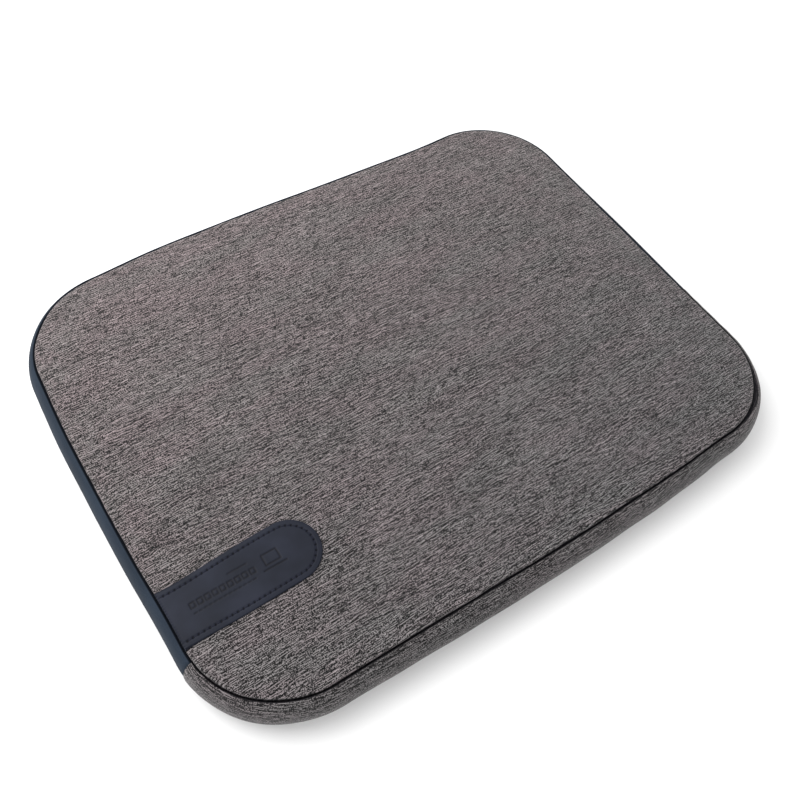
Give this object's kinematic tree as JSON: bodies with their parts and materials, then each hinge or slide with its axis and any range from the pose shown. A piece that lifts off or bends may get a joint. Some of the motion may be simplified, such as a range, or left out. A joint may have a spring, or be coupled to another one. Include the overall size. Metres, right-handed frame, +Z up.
{
  "type": "laptop sleeve",
  "caption": "Padded zip-round laptop sleeve with woven covers, a padded spine, a label patch, and a front cover that folds open.",
  "frame": {"origin": "on the resting face of the back cover, under the middle of the seam outline", "axes": "+X along the long sides away from the label patch, +Y from the spine to the opening, +Z up from the back cover to the front cover"},
  "size_m": [0.3767, 0.293, 0.0293],
  "materials": {
    "heather_fabric": "matte",
    "gusset_fabric": "matte",
    "foam": "matte",
    "lining": "matte",
    "binding": "matte",
    "zip_tape": "satin",
    "zip_coil": "satin",
    "patch_leather": "satin",
    "thread": "satin",
    "zip_metal": "satin"
  },
  "bodies": {
    "shell": {"back_cover": "heather_fabric", "back_foam": "foam", "back_lining": "lining", "back_seam_binding": "binding", "spine_gusset": "gusset_fabric", "spine_foam": "foam", "spine_lining": "lining", "lower_zip_tape": "zip_tape", "lower_zip_coil": "zip_coil", "end_binding_left": "binding", "end_binding_right": "binding", "pocket_cover": "heather_fabric", "pocket_foam": "foam", "pocket_lining": "lining", "pocket_seam_binding": "binding", "pocket_zip_tape": "zip_tape", "pocket_zip_coil": "zip_coil", "label_patch": "patch_leather", "patch_stitching": "thread"},
    "flap": {"flap_cover": "heather_fabric", "flap_foam": "foam", "flap_lining": "lining", "flap_seam_binding": "binding", "upper_zip_tape": "zip_tape", "upper_zip_coil": "zip_coil"},
    "slider_far": {"slider_far": "zip_metal"},
    "slider_near": {"slider_near": "zip_metal"},
    "pull_far": {"pull_far": "zip_metal"},
    "pull_near": {"pull_near": "zip_metal"}
  },
  "joints": [
    {"name": "cover_fold", "type": "hinge", "parent": "shell", "child": "flap", "pos_m": [0, -0.047, 0.028], "axis": [1, 0, 0], "range_deg": [0, 150]},
    {"name": "slider_far_travel", "type": "slide", "parent": "shell", "child": "slider_far", "axis": [0, 1, 0], "range_m": [0, 0.05]},
    {"name": "slider_near_travel", "type": "slide", "parent": "shell", "child": "slider_near", "axis": [0, -1, 0], "range_m": [0, 0.05]},
    {"name": "pull_far_swing", "type": "hinge", "parent": "slider_far", "child": "pull_far", "pos_m": [0.1881, 0.028, 0.014], "axis": [0, 0, -1], "range_deg": [0, 150]},
    {"name": "pull_near_swing", "type": "hinge", "parent": "slider_near", "child": "pull_near", "pos_m": [0.1881, 0.012, 0.014], "axis": [0, 0, 1], "range_deg": [0, 150]}
  ]
}
